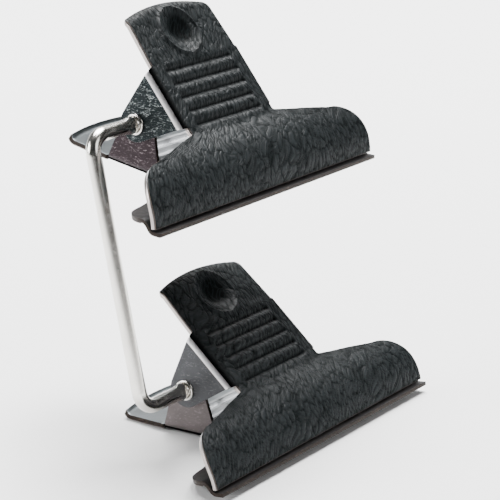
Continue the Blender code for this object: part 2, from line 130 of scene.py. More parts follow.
# The rod's pinches, which start at the flange and fade further along the leg than the CAD's
PINCH_HEIGHT = 1.2
PINCH_WIDTH = 0.84
FLANGE_GAP = -0.05
NEAR_RAMP = 0.15
FAR_RAMP = 3.0
FAR_RAMP_REACH = 1.0

# Pressed relief: the CAD's layout, but deeper
GROOVE_COUNT = 5
GROOVE_PITCH = 4.15
GROOVE_CENTRE = 0.9
GROOVE_DEPTH = 0.8
GROOVE_WIDTH = 0.72
GROOVE_REACH = 14.5
GROOVE_END = 0.8
RIDGE_HEIGHT = 0.12
RIDGE_WIDTH = 0.9
DIMPLE_BACK = 17.8
DIMPLE_RADIUS = 7.2
DIMPLE_DEPTH = 1.9
DIMPLE_RING = 0.55
DIMPLE_RING_WIDTH = 0.075

# Painted shade on the skin: darker low in the grooves, and in the dimple off its centre
DIMPLE_SHADE = 0.95
DIMPLE_SHADE_SIZE = 0.86
DIMPLE_SHADE_SIDE = 1.2
DIMPLE_SHADE_BACK = 0.8
GROOVE_SHADE = 0.9
GROOVE_SHADE_WIDTH = 0.85
GROOVE_SHADE_PAST = 0.4

# Skin detail
SKIN_INSET = 0.08
SKIN_EAR_WRAP = 1.5
SKIN_EAR_SINK = 0.12
SKIN_RIM_WIDTH = 0.04
SKIN_EDGE_ROLL = 0.18
SKIN_EDGE_WIDTH = 0.5
EAR_SMOOTH_WIDTH = 2.6
GRAIN_WIDTH = 1.75
GRAIN_LENGTH = 3.7
GRAIN_LEAN = 0.4
GRAIN_DEPTH = 0.15
FINE_GRAIN_DEPTH = 0.045
FINE_GRAIN_ACROSS = 2.1
FINE_GRAIN_ALONG = 2.4
WARP_ACROSS = 1.3
WARP_ALONG = 1.5
DRIFT_ACROSS = 5.0
DRIFT_SPAN = 22.0
SWELL_HEIGHT = 0.045
CREASE_WIDTH = 0.17

# Rounding of the cut edges
PLATE_EDGE = 0.13
ROD_EDGE = 0.3

# Mesh fineness
ARC_STEP = 0.42
SKIN_COLUMNS = 124
PLATE_COLUMNS = 40
ROUND_STEPS = 64
EAR_BEND_RINGS = 6
SHARP_ANGLE = 42.0

# Camera at the photographed angle
CAMERA_PLACE = (-0.42821, -0.32114, 0.20783)
CAMERA_AZIMUTH = 54.2
CAMERA_DROP = 16.57
CAMERA_ROLL = -0.37
CAMERA_LENS = 144.9


# ---------------------------------------------------------------- side view of a plate

def arc(radius, turn):
    """A round stretch of a profile, as its length and its turn."""
    return (math.radians(abs(turn)) * radius, turn)


def line(length):
    """A straight stretch of a profile."""
    return (length, 0.0)


def handle_stretches(neck_rise):
    """The stretches from the curled edge to the neck."""
    return [
        line(CURL_EDGE),
        arc(CURL_RADIUS, -CURL_TURN),
        line(HANDLE_BACK + HANDLE_FRONT),
        arc(NECK_RADIUS, HANDLE_ANGLE + neck_rise),
    ]


def outer_stretches():
    """The plate on top."""
    return handle_stretches(OUTER_NECK_RISE) + [arc(OUTER_JAW_RADIUS, -OUTER_JAW_TURN)]


def inner_stretches():
    """The plate below, drawn upside down."""
    return handle_stretches(INNER_NECK_RISE) + [
        arc(INNER_JAW_RADIUS, -INNER_JAW_TURN),
        line(INNER_JAW_FLAT),
        arc(GUTTER_RADIUS, GUTTER_ENTRY_TURN),
        line(GUTTER_ENTRY_FLAT),
        arc(GUTTER_RADIUS, -GUTTER_TURN),
        line(GUTTER_LIP),
    ]


def smooth_step(value):
    """A soft ramp from 0 to 1."""
    value = np.clip(value, 0.0, 1.0)
    return value * value * (3.0 - 2.0 * value)


class Sheet:
    """Maps a place on a flat sheet to the pressed plate around its pivot."""

    def __init__(self, stretches, ear_span, neck_forward, raised):
        self.raised = raised
        self.ear_span = ear_span
        self.neck_forward = neck_forward
        self.pieces = []
        start = (0.0, 0.0, math.radians(CURL_TURN - HANDLE_ANGLE), 0.0)
        for length, turn in stretches:
            self.pieces.append((start, length, math.radians(turn) / length))
            start = self._move(start, length, math.radians(turn) / length)
        self.length = start[3]
        self.knots = [piece[0][3] for piece in self.pieces] + [self.length]
        self.foot = self.knots[2] + HANDLE_BACK
        self.shift = (0.0, 0.0)
        angle = math.radians(HANDLE_ANGLE)
        forward, up, _ = self.at(self.foot)
        self.shift = (
            PIVOT_DEPTH * math.sin(angle) - forward, PIVOT_DEPTH * math.cos(angle) - up)
        self.along = (math.cos(angle), -math.sin(angle))

    @staticmethod
    def _move(start, run, bend):
        forward, up, heading, travelled = start
        if abs(bend) < 1e-9:
            forward += run * math.cos(heading)
            up += run * math.sin(heading)
        else:
            ahead = heading + bend * run
            forward += (math.sin(ahead) - math.sin(heading)) / bend
            up -= (math.cos(ahead) - math.cos(heading)) / bend
        return (forward, up, heading + bend * run, travelled + run)

    def at(self, row):
        """Forward, up and heading at a distance along the profile."""
        for start, length, bend in self.pieces:
            run = row - start[3]
            if run <= length + 1e-6:
                break
        forward, up, heading, _ = self._move(start, run, bend)
        return forward + self.shift[0], up + self.shift[1], heading

    def rows(self, low, high, step):
        """Distances from low to high, with a row on every knot and both ear ends."""
        half = EAR_LENGTH / 2
        marks = [low, high] + [
            mark for mark in self.knots + [self.foot - half, self.foot + half]
            if low + 0.05 < mark < high - 0.05]
        marks.sort()
        rows = [low]
        for start, end in zip(marks, marks[1:]):
            count = max(1, round((end - start) / step))
            rows += [start + (end - start) * share / count for share in range(1, count + 1)]
        return rows

    def half_width(self, row):
        """Half the sheet's width at a distance along the profile."""
        ear_start = self.foot - EAR_LENGTH / 2
        if row < ear_start - 0.01:
            handle = TIP_WIDTH / 2 + (HANDLE_WIDTH - TIP_WIDTH) / 2 * row / ear_start
            corner = max(TIP_CORNER - row, 0.0)
            return handle - TIP_CORNER + math.sqrt(TIP_CORNER ** 2 - corner ** 2)
        if row < self.foot + EAR_LENGTH / 2 + 0.01:
            return self.ear_span / 2 - EAR_BEND_RADIUS
        forward = self.at(row)[0]
        neck = min(NECK_WIDTH / 2, self.ear_span / 2 - EAR_BEND_RADIUS + 0.6)
        corner_x = JAW_WIDTH / 2 - SHOULDER_CORNER
        slope = math.tan(math.radians(SHOULDER_SLOPE))
        shoulder = self.neck_forward + (corner_x - neck) * slope
        if forward < self.neck_forward:
            return neck
        if forward < shoulder:
            return neck + (forward - self.neck_forward) / slope
        left = max(shoulder + SHOULDER_CORNER - forward, 0.0)
        return corner_x + math.sqrt(SHOULDER_CORNER ** 2 - min(left, SHOULDER_CORNER) ** 2)

    @staticmethod
    def groove_gaps(place):
        """How far a place along the handle is from the middle of each groove."""
        middle = (GROOVE_COUNT - 1) / 2
        return [
            place - GROOVE_CENTRE - (index - middle) * GROOVE_PITCH
            for index in range(GROOVE_COUNT)]

    def relief(self, x, row):
        """Height of the pressed grooves, the ridges between them and the thumb dimple."""
        place = row - self.foot
        reach = np.hypot(x, place + DIMPLE_BACK) / DIMPLE_RADIUS
        bowl = -DIMPLE_DEPTH * 0.5 * (1.0 + np.cos(np.pi * np.clip(reach, 0.0, 1.0)))
        ring = np.exp(-((reach - 1.0) / DIMPLE_RING_WIDTH) ** 2)
        height = bowl + self.raised * DIMPLE_RING * ring
        inside = smooth_step((GROOVE_REACH - np.abs(x)) / GROOVE_END)
        for off in self.groove_gaps(place):
            height -= inside * GROOVE_DEPTH * math.exp(-(off / GROOVE_WIDTH) ** 2)
            crest = math.exp(-((abs(off) - GROOVE_PITCH / 2) / RIDGE_WIDTH) ** 2)
            height += self.raised * inside * RIDGE_HEIGHT * crest
        return height

    def hollow_shade(self, x, row):
        """Painted shade for the skin: 1 deep in a groove or in the thumb dimple, falling to 0 on
        the open face.
        """
        place = row - self.foot
        reach = np.hypot(x - DIMPLE_SHADE_SIDE, place + DIMPLE_BACK + DIMPLE_SHADE_BACK)
        reach = reach / (DIMPLE_RADIUS * DIMPLE_SHADE_SIZE)
        shade = DIMPLE_SHADE * smooth_step((1.0 - reach) / 0.5)
        inside = smooth_step((GROOVE_REACH + GROOVE_SHADE_PAST - np.abs(x)) / GROOVE_END)
        for off in self.groove_gaps(place):
            low = math.exp(-(off / (GROOVE_WIDTH * GROOVE_SHADE_WIDTH)) ** 2)
            shade = np.maximum(shade, GROOVE_SHADE * inside * low)
        return shade

    def points(self, x, row, depth):
        """Points across one row, at heights above the sheet's outer face."""
        forward, up, heading = self.at(row)
        height = depth + self.relief(x, row)
        sag = TIP_SAG * (2.0 * x / HANDLE_WIDTH) ** 2
        sag = sag * (1.0 - smooth_step((row - self.knots[2]) / TIP_SAG_LENGTH))
        across = forward - math.sin(heading) * height + sag * self.along[0]
        rise = up + math.cos(heading) * height + sag * self.along[1]
        return np.stack([x, -across, rise], axis=-1)

    def ear_grid(self, side, rows):
        """Points of one ear: round its bend, then down past the pivot to its round end."""
        outer = self.ear_span / 2
        half = EAR_LENGTH / 2
        rings = []
        for swing in np.radians(np.linspace(0.0, 90.0, EAR_BEND_RINGS + 1)):
            x = outer - EAR_BEND_RADIUS * (1.0 - math.sin(swing))
            rings.append((x, EAR_BEND_RADIUS * (1.0 - math.cos(swing))))
        turns = np.radians(np.arange(-70.0, 81.0, 10.0))
        for depth in [PIVOT_DEPTH + EAR_END_RADIUS * math.sin(turn) for turn in turns]:
            rings.append((outer, depth))
        grid = []
        for x, depth in rings:
            share = ear_half_width(depth) / half if depth > 0.0 else 1.0
            ring = []
            for row in rows:
                forward, up, heading = self.at(self.foot + (row - self.foot) * share)
                forward += math.sin(heading) * depth
                up -= math.cos(heading) * depth
                ring.append((side * x, -forward, up))
            grid.append(ring)
        return np.array(grid)


def ear_half_width(depth):
    """Half the ear's width at a depth: a taper that runs into the round end."""
    root = EAR_LENGTH / 2
    reach = math.hypot(root, PIVOT_DEPTH)
    lean = math.atan2(root, PIVOT_DEPTH) - math.asin(EAR_END_RADIUS / reach)
    touch = PIVOT_DEPTH + EAR_END_RADIUS * math.sin(lean)
    if depth < touch:
        return root - depth * math.tan(lean)
    return math.sqrt(EAR_END_RADIUS ** 2 - min(depth - PIVOT_DEPTH, EAR_END_RADIUS * 0.985) ** 2)


# ---------------------------------------------------------------- leather grain

def scatter(ix, iy, seed):
    """A repeatable number from 0 to 1 for each whole-number place."""
    mixed = (ix.astype(np.int64) * 374761393 + iy.astype(np.int64) * 668265263 + seed * 974711)
    mixed = (mixed ^ (mixed >> 13)) * 1274126177
    return ((mixed ^ (mixed >> 16)) & 0xFFFFFF) / float(0xFFFFFF)


def soft_noise(u, v, seed):
    """Smooth noise from -1 to 1."""
    iu, iv = np.floor(u), np.floor(v)
    fu, fv = smooth_step(u - iu), smooth_step(v - iv)
    low = scatter(iu, iv, seed) * (1 - fu) + scatter(iu + 1, iv, seed) * fu
    high = scatter(iu, iv + 1, seed) * (1 - fu) + scatter(iu + 1, iv + 1, seed) * fu
    return 2.0 * (low * (1 - fv) + high * fv) - 1.0


def creases(u, v, seed):
    """1 on the lines between scattered cells, falling to 0 inside them."""
    iu, iv = np.floor(u), np.floor(v)
    near = np.full(u.shape, 9.0)
    second = np.full(u.shape, 9.0)
    for du in (-1, 0, 1):
        for dv in (-1, 0, 1):
            cu, cv = iu + du, iv + dv
            gap = np.hypot(
                cu + scatter(cu, cv, seed) - u, cv + scatter(cu, cv, seed + 7) - v)
            second = np.minimum(second, np.maximum(near, gap))
            near = np.minimum(near, gap)
    return np.exp(-((second - near) / CREASE_WIDTH) ** 1.5)


def grain(x, row, seed):
    """Height of the leather grain, how deep in a crease each point is, and its grain place."""
    along = np.full(x.shape, row)
    warp = WARP_ACROSS * soft_noise(x / 5.0, along / 5.0, seed)
    drift = DRIFT_ACROSS * soft_noise(x / DRIFT_SPAN + 40.0, along / DRIFT_SPAN, seed + 3)
    u = (x + warp + drift + GRAIN_LEAN * along) / GRAIN_WIDTH
    v = (along + WARP_ALONG * soft_noise(x / 4.0 + 9.0, along / 4.0, seed + 1)) / GRAIN_LENGTH
    coarse = creases(u, v, seed)
    fine = creases(u * FINE_GRAIN_ACROSS + 5.0, v * FINE_GRAIN_ALONG, seed + 11)
    swell = soft_noise(x / 2.6, along / 3.4 + 20.0, seed + 5)
    height = -GRAIN_DEPTH * coarse - FINE_GRAIN_DEPTH * fine + SWELL_HEIGHT * (swell - 1.0)
    deep = np.clip(0.75 * coarse + 0.35 * fine, 0.0, 1.0)
    return height, deep, u, v


# ---------------------------------------------------------------- meshes

def grid_object(name, grids, upside_down, attributes=None, slots=None):
    """An open sheet from grids of points that share their edges, its faces outward."""
    bm = bmesh.new()
    layers = {key: bm.verts.layers.float.new(key) for key in (attributes or {})}
    for number, grid in enumerate(grids):
        verts = []
        for row, line_of_points in enumerate(grid):
            made = [bm.verts.new(Vector(point) * MM) for point in line_of_points]
            for key, layer in layers.items():
                for column, vert in enumerate(made):
                    vert[layer] = attributes[key][row][column]
            verts.append(made)
        for row, (first, second) in enumerate(zip(verts, verts[1:])):
            for column in range(len(first) - 1):
                face = bm.faces.new(
                    (first[column], first[column + 1], second[column + 1], second[column]))
                face.smooth = True
                if slots:
                    face.material_index = slots(number, row)
    bmesh.ops.remove_doubles(bm, verts=bm.verts, dist=0.000002)
    bmesh.ops.recalc_face_normals(bm, faces=bm.faces)
    bm.faces.ensure_lookup_table()
    second_row_face = bm.faces[len(grids[0][0])]
    if second_row_face.normal.z < 0:
        bmesh.ops.reverse_faces(bm, faces=bm.faces)
    if upside_down:
        for vert in bm.verts:
            vert.co.z = -vert.co.z
        bmesh.ops.reverse_faces(bm, faces=bm.faces)
    return mesh_object(name, bm)


def mesh_object(name, bm):
    """An object that holds a finished bmesh."""
    mesh = bpy.data.meshes.new(name)
    bm.to_mesh(mesh)
    bm.free()
    return link_object(name, mesh)


def link_object(name, data):
    """An object in the scene."""
    obj = bpy.data.objects.new(name, data)
    bpy.context.scene.collection.objects.link(obj)
    return obj


def settle(obj):
    """Replace an object's mesh with the result of its modifiers."""
    bpy.context.view_layer.update()
    graph = bpy.context.evaluated_depsgraph_get()
    mesh = bpy.data.meshes.new_from_object(obj.evaluated_get(graph))
    obj.modifiers.clear()
    obj.data = mesh
    mesh.shade_smooth()
    mesh.set_sharp_from_angle(angle=math.radians(SHARP_ANGLE))
    return obj


def solidify(obj, thickness, even, inner=0, rim=0):
    """Give an open sheet its thickness below its face, and move on to other material slots.

    inner and rim are the steps from a face's slot to its slot behind and on the cut edge.
    """
    modifier = obj.modifiers.new("thickness", "SOLIDIFY")
    modifier.thickness = thickness * MM
    modifier.offset = -1.0
    modifier.use_even_offset = even
    modifier.material_offset = inner
    modifier.material_offset_rim = rim


def soften(obj, width):
    """Round the cut edges."""
    bevel = obj.modifiers.new("edges", "BEVEL")
    bevel.width = width * MM
    bevel.segments = 2
    bevel.limit_method = "ANGLE"
    bevel.angle_limit = math.radians(55)


def turned_object(name, section, steps):
    """A closed section of (radius, along) turned about X."""
    bm = bmesh.new()
    rings = []
    for step in range(steps):
        turn = 2 * math.pi * step / steps
        rings.append([
            bm.verts.new(Vector((along, radius * math.cos(turn), radius * math.sin(turn))) * MM)
            for radius, along in section])
    count = len(section)
    for step, ring in enumerate(rings):
        after = rings[(step + 1) % steps]
        for spot in range(count):
            ahead = (spot + 1) % count
            bm.faces.new((ring[spot], ring[ahead], after[ahead], after[spot])).smooth = True
    bmesh.ops.recalc_face_normals(bm, faces=bm.faces)
    return mesh_object(name, bm)


def wire_object(name, points, diameter, resolution):
    """A round wire along close-set points."""
    curve = bpy.data.curves.new(name, "CURVE")
    curve.dimensions = "3D"
    curve.bevel_depth = diameter / 2 * MM
    curve.bevel_resolution = resolution
    curve.use_fill_caps = True
    spline = curve.splines.new("POLY")
    spline.points.add(len(points) - 1)
    for spot, point in zip(spline.points, points):
        spot.co = (*(Vector(point) * MM), 1.0)
    path = link_object(name + "_path", curve)
    bpy.context.view_layer.update()
    graph = bpy.context.evaluated_depsgraph_get()
    mesh = bpy.data.meshes.new_from_object(path.evaluated_get(graph))
    bpy.data.objects.remove(path)
    bm = bmesh.new()
    bm.from_mesh(mesh)
    bmesh.ops.remove_doubles(bm, verts=bm.verts, dist=0.000001)
    bmesh.ops.recalc_face_normals(bm, faces=bm.faces)
    bm.to_mesh(mesh)
    bm.free()
    mesh.materials.clear()
    mesh.shade_smooth()
    mesh.set_sharp_from_angle(angle=math.radians(SHARP_ANGLE))
    return link_object(name, mesh)


# ---------------------------------------------------------------- materials

class Nodes:
    """Builds one procedural Principled material, node by node."""

    def __init__(self, name, metallic, specular=0.5):
        self.material = bpy.data.materials.new(name)
        self.material.use_nodes = True
        self.tree = self.material.node_tree
        self.shader = self.tree.nodes["Principled BSDF"]
        self.shader.inputs["Metallic"].default_value = metallic
        self.shader.inputs["Specular IOR Level"].default_value = specular
        self.place = self.tree.nodes.new("ShaderNodeTexCoord").outputs["Object"]

    def link(self, output, target):
        """Connect two sockets."""
        self.tree.links.new(output, target)

    def stretched(self, scale):
        """Object coordinates stretched by a scale for each axis."""
        mapping = self.tree.nodes.new("ShaderNodeMapping")
        mapping.inputs["Scale"].default_value = scale
        self.link(self.place, mapping.inputs["Vector"])
        return mapping.outputs["Vector"]

    def noise(self, scale, detail=4.0, stretch=(1.0, 1.0, 1.0), distortion=0.0):
        """Noise from 0 to 1, at a number of features per metre."""
        node = self.tree.nodes.new("ShaderNodeTexNoise")
        node.inputs["Scale"].default_value = scale
        node.inputs["Detail"].default_value = detail
        node.inputs["Distortion"].default_value = distortion
        self.link(self.stretched(stretch), node.inputs["Vector"])
        return node.outputs["Fac"]

    def wrinkles(self, share):
        """Fine wrinkles that follow the grain kept on the mesh: 0 in a wrinkle, 1 between."""
        place = self.tree.nodes.new("ShaderNodeCombineXYZ")
        for socket, name in (("X", "grain_u"), ("Y", "grain_v")):
            self.link(self.attribute(name), place.inputs[socket])
        wobble = self.tree.nodes.new("ShaderNodeTexNoise")
        wobble.inputs["Scale"].default_value = 1.1
        self.link(place.outputs["Vector"], wobble.inputs["Vector"])
        moved = self.tree.nodes.new("ShaderNodeVectorMath")
        moved.operation = "ADD"
        self.link(place.outputs["Vector"], moved.inputs[0])
        self.link(wobble.outputs["Color"], moved.inputs[1])
        cells = self.tree.nodes.new("ShaderNodeTexVoronoi")
        cells.feature = "DISTANCE_TO_EDGE"
        cells.voronoi_dimensions = "2D"
        cells.inputs["Scale"].default_value = share
        self.link(moved.outputs["Vector"], cells.inputs["Vector"])
        node = self.tree.nodes.new("ShaderNodeMapRange")
        node.interpolation_type = "SMOOTHSTEP"
        node.inputs["From Max"].default_value = 0.2
        self.link(cells.outputs["Distance"], node.inputs["Value"])
        return node.outputs["Result"]

    def attribute(self, name):
        """A value kept on the mesh's points."""
        node = self.tree.nodes.new("ShaderNodeAttribute")
        node.attribute_name = name
        return node.outputs["Fac"]

    def ramp(self, value, stops):
        """Colours blended along a value."""
        node = self.tree.nodes.new("ShaderNodeValToRGB")
        elements = node.color_ramp.elements
        while len(elements) < len(stops):
            elements.new(0.5)
        for element, (position, colour) in zip(elements, stops):
            element.position = position
            element.color = (*colour, 1.0)
        self.link(value, node.inputs["Fac"])
        return node.outputs["Color"]

    def mix(self, share, first, second):
        """A blend of two colours."""
        node = self.tree.nodes.new("ShaderNodeMix")
        node.data_type = "RGBA"
        self.link(share, node.inputs["Factor"])
        for socket, colour in ((node.inputs[6], first), (node.inputs[7], second)):
            if isinstance(colour, tuple):
                socket.default_value = (*colour, 1.0)
            else:
                self.link(colour, socket)
        return node.outputs[2]

    def calculate(self, operation, first, second):
        """Two values put together."""
        node = self.tree.nodes.new("ShaderNodeMath")
        node.operation = operation
        self.link(first, node.inputs[0])
        self.link(second, node.inputs[1])
        return node.outputs["Value"]

    def multiply(self, first, second):
        """The product of two values."""
        return self.calculate("MULTIPLY", first, second)

    def maximum(self, first, second):
        """The larger of two values."""
        return self.calculate("MAXIMUM", first, second)

    def span(self, value, low, high):
        """A 0 to 1 value spread from low to high."""
        node = self.tree.nodes.new("ShaderNodeMapRange")
        node.inputs["To Min"].default_value = low
        node.inputs["To Max"].default_value = high
        self.link(value, node.inputs["Value"])
        return node.outputs["Result"]

    def bump(self, height, depth_mm, before=None):
        """Surface relief of a depth in millimetres."""
        node = self.tree.nodes.new("ShaderNodeBump")
        node.inputs["Distance"].default_value = depth_mm * MM
        self.link(height, node.inputs["Height"])
        if before:
            self.link(before, node.inputs["Normal"])
        return node.outputs["Normal"]

    def finish(self, colour, roughness, normal=None):
        """Connect the shader."""
        self.link(colour, self.shader.inputs["Base Color"])
        self.link(roughness, self.shader.inputs["Roughness"])
        if normal:
            self.link(normal, self.shader.inputs["Normal"])
        return self.material


def leatherette_material():
    """Black grained vinyl, darker in creases, wrinkles, grooves, the dimple and over the ear
    bends as painted shade, with less sheen there, and a brown rim.
    """
    nodes = Nodes("black_leatherette", 0.0)
    pores = nodes.noise(3200.0, 3.0)
    patches = nodes.noise(160.0, 3.0)
    wrinkles = nodes.wrinkles(1.25)
    ridge = nodes.mix(patches, (0.008, 0.0105, 0.0115), (0.014, 0.0175, 0.019))
    # Painted shade: darker in the grain's creases, the grooves and the dimple, in the fine
    # wrinkles, and near-black on the skin's wrap over the ear bends
    creased = nodes.mix(nodes.attribute("crease"), ridge, (0.0015, 0.002, 0.002))
    surface = nodes.mix(wrinkles, (0.006, 0.008, 0.0085), creased)
    smooth = nodes.mix(nodes.attribute("smooth"), surface, (0.001, 0.001, 0.001))
    colour = nodes.mix(nodes.attribute("rim"), smooth, (0.10, 0.08, 0.07))
    covered = nodes.maximum(nodes.attribute("crease"), nodes.attribute("smooth"))
    sheen = nodes.span(covered, 0.16, 0.01)
    nodes.link(sheen, nodes.shader.inputs["Specular IOR Level"])
    roughness = nodes.span(pores, 0.44, 0.6)
    normal = nodes.bump(wrinkles, 0.07, nodes.bump(pores, 0.015))
    return nodes.finish(colour, roughness, normal)


def scratched_steel(name, dark, light, depth_mm, wear, metallic=0.5):
    """Coated sheet with clusters of short light scratches over a mottled ground."""
    nodes = Nodes(name, metallic, 0.1)
    fine = nodes.noise(1500.0, 5.0, (1.0, 0.45, 1.6), 1.8)
    coarse = nodes.noise(520.0, 4.0, (1.0, 0.5, 1.4), 1.2)
    mottle = nodes.noise(200.0, 3.0)
    scratches = nodes.ramp(fine, [(0.55, (0.0, 0.0, 0.0)), (0.7, (wear, wear, wear))])
    clusters = nodes.ramp(coarse, [(0.42, (0.08, 0.08, 0.08)), (0.62, (1.0, 1.0, 1.0))])
    worn = nodes.multiply(scratches, clusters)
    ground = nodes.mix(mottle, dark, tuple(1.5 * value for value in dark))
    colour = nodes.mix(worn, ground, light)
    roughness = nodes.span(coarse, 0.34, 0.55)
    normal = nodes.bump(fine, depth_mm, nodes.bump(coarse, depth_mm * 1.5))
    return nodes.finish(colour, roughness, normal)


def satin_steel(name, dark, light, roughness, metallic=0.9):
    """Sheet or wire with a fine drawn finish."""
    nodes = Nodes(name, metallic)
    streaks = nodes.noise(1800.0, 3.0, (0.3, 1.0, 1.0))
    patches = nodes.noise(130.0, 4.0)
    colour = nodes.mix(patches, dark, light)
    spread = nodes.span(streaks, roughness - 0.07, roughness + 0.1)
    return nodes.finish(colour, spread, nodes.bump(streaks, 0.004))


# ---------------------------------------------------------------- pieces of a clip

def clip_matrix(place, pitch):
    """Where a clip stands: its pivot, and its pitch about it."""
    return Matrix.Translation(place) @ Euler((math.radians(pitch), 0.0, 0.0)).to_matrix().to_4x4()


def adopt(obj, matrix, body, node):
    """Put a finished piece in its place, on its body, instead of its CAD node."""
    obj.data.transform(matrix)
    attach(obj, body)
    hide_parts(node)
    return obj


def plate_object(name, sheet, upside_down, materials):
    """A pressed plate with two ears and their eyelet holes."""
    shares = np.linspace(-1.0, 1.0, PLATE_COLUMNS + 1)
    rows = sheet.rows(0.0, sheet.length, ARC_STEP * 1.6)
    main = [sheet.points(shares * sheet.half_width(row), row, 0.0) for row in rows]
    half = EAR_LENGTH / 2 + 0.01
    ear_rows = [row for row in rows if abs(row - sheet.foot) < half]
    ears = []
    for side in (-1, 1):
        grid = sheet.ear_grid(side, ear_rows)
        edge = 0 if side < 0 else -1
        for spot, row in enumerate(ear_rows):
            grid[0][spot] = sheet.points(shares * sheet.half_width(row), row, 0.0)[edge]
        ears.append(grid)

    def slots(number, ring):
        if number:
            return 1 if ring < EAR_BEND_RINGS else 0
        if rows[ring] > sheet.knots[4]:
            return 2
        return 3 if rows[ring] < sheet.foot - half else 0

    plate = grid_object(name, [main] + ears, upside_down, slots=slots)
    outer, bend, inner, jaw, back, rim = materials
    for material in (outer, bend, jaw, back, inner, inner, jaw, back, rim, rim, rim, rim):
        plate.data.materials.append(material)
    solidify(plate, PLATE_THICKNESS, True, 4, 8)
    soften(plate, PLATE_EDGE)
    radius = ROD_DIAMETER / 2 + ROD_CLEARANCE + EYELET_WALL + EYELET_CLEARANCE
    drill = turned_object(name + "_drill", [
        (radius, -EAR_SPAN), (radius, EAR_SPAN), (0.0001, EAR_SPAN), (0.0001, -EAR_SPAN)],
        ROUND_STEPS)
    cut = plate.modifiers.new("hole", "BOOLEAN")
    cut.operation = "DIFFERENCE"
    cut.solver = "EXACT"
    cut.object = drill
    settle(plate)
    bpy.data.objects.remove(drill)
    return plate


def skin_columns():
    """Shares of the half width, close together at both edges."""
    inner = np.linspace(0.0, 1.0, SKIN_COLUMNS + 1)
    inner = np.concatenate([inner[:-1], [0.9945, 0.9975, 1.0]])
    return np.concatenate([-inner[:0:-1], inner])


def skin_object(name, sheet, upside_down, stop, seed, material):
    """Grained leatherette on a plate's outer face."""
    shares = skin_columns()
    low = sheet.knots[1] + 0.01
    rows = sheet.rows(low, sheet.length - stop, ARC_STEP)
    rows = [low, low + 0.15] + rows[1:-1] + [rows[-1] - 0.15, rows[-1]]
    grid, crease, smooth, rim, grain_u, grain_v = [], [], [], [], [], []
    for row in rows:
        width = sheet.half_width(row) - SKIN_INSET
        on_ear = abs(row - sheet.foot) < EAR_LENGTH / 2 + 0.01
        bend_start = sheet.ear_span / 2 - EAR_BEND_RADIUS
        if on_ear:
            width = bend_start + SKIN_EAR_WRAP
        x = shares * width
        from_edge = np.minimum(width - np.abs(x), min(row - rows[0], rows[-1] - row))
        roll = np.clip(1.0 - from_edge / SKIN_EDGE_WIDTH, 0.0, 1.0) ** 2
        pressed = np.zeros(x.shape)
        if on_ear:
            pressed = 1.0 - smooth_step((width - np.abs(x)) / EAR_SMOOTH_WIDTH)
        height, deep, u, v = grain(x, row, seed)
        height = height * (1.0 - pressed) * (1.0 - roll)
        depth = SKIN_GAP + SKIN_THICKNESS + height
        depth = depth - SKIN_EDGE_ROLL * roll - SKIN_EAR_SINK * pressed
        if on_ear:
            past = np.clip(np.abs(x) - bend_start, 0.0, EAR_BEND_RADIUS)
            depth -= EAR_BEND_RADIUS - np.sqrt(EAR_BEND_RADIUS ** 2 - past ** 2)
        grid.append(sheet.points(x, row, depth))
        # Painted shade mask: the grain's creases, with the grooves and the dimple
        crease.append(np.maximum(deep * (1.0 - pressed), sheet.hollow_shade(x, row)))
        # Painted shade: the pressed wrap of the skin over the ear bend is coloured near-black
        smooth.append(pressed)
        grain_u.append(u)
        grain_v.append(v)
        cut = (from_edge < SKIN_RIM_WIDTH).astype(float)
        rim.append(np.zeros(x.shape) if on_ear else cut)
    attributes = {
        "crease": crease, "smooth": smooth, "rim": rim, "grain_u": grain_u, "grain_v": grain_v}
    skin = grid_object(name, [grid], upside_down, attributes)
    skin.data.materials.append(material)
    solidify(skin, SKIN_THICKNESS * 0.5, False)
    return settle(skin)


def eyelet_object(name, side, material):
    """A flanged eyelet whose flanges roll over at their rims."""
    bore = ROD_DIAMETER / 2 + ROD_CLEARANCE
    barrel = bore + EYELET_WALL
    flange = barrel + EYELET_FLANGE
    thick = EYELET_FLANGE_THICKNESS
    outer = EAR_SPAN / 2 + FACE_CLEARANCE + thick
    inner = EAR_SPAN / 2 - 2 * PLATE_THICKNESS - EAR_CLEARANCE - FACE_CLEARANCE - thick
    middle = (bore + flange) / 2
    reach = (flange - bore) / 2
    crown = [
        (middle + reach * math.cos(turn), outer - thick + thick * math.sin(turn))
        for turn in np.radians(np.arange(0.0, 181.0, 15.0))]
    foot = [
        (middle - reach * math.cos(turn), inner + thick - thick * math.sin(turn))
        for turn in np.radians(np.arange(0.0, 181.0, 15.0))]
    section = crown + foot + [(barrel, inner + thick), (barrel, outer - thick)]
    section = [(radius, side * along) for radius, along in section]
    eyelet = turned_object(name, section, ROUND_STEPS)
    eyelet.data.materials.append(material)
    eyelet.data.set_sharp_from_angle(angle=math.radians(50))
    return eyelet


def spring_points():
    """The spring's wire: a leg under one handle, the coil, and a leg under the other."""
    coil = ROD_DIAMETER / 2 + SPRING_BORE_GAP + WIRE_DIAMETER / 2
    half_run = SPRING_TURNS * SPRING_PITCH / 2
    rest = PIVOT_DEPTH - PLATE_THICKNESS - SPRING_LEG_GAP - WIRE_DIAMETER / 2 - 0.5
    angle = math.radians(HANDLE_ANGLE)
    toe_forward = rest * math.sin(angle) - SPRING_LEG_BACK * math.cos(angle)
    toe_up = rest * math.cos(angle) + SPRING_LEG_BACK * math.sin(angle)
    leave = math.atan2(toe_up, -toe_forward) + math.acos(coil / math.hypot(toe_forward, toe_up))
    swing = 2 * math.pi * SPRING_TURNS - 2 * leave
    count = round(40 * swing / (2 * math.pi))
    points = [(-half_run, -toe_forward, toe_up)]
    for step in range(count + 1):
        turn = leave + swing * step / count
        x = -half_run + 2 * half_run * step / count
        points.append((x, coil * math.cos(turn), coil * math.sin(turn)))
    points.append((half_run, -toe_forward, -toe_up))
    return points


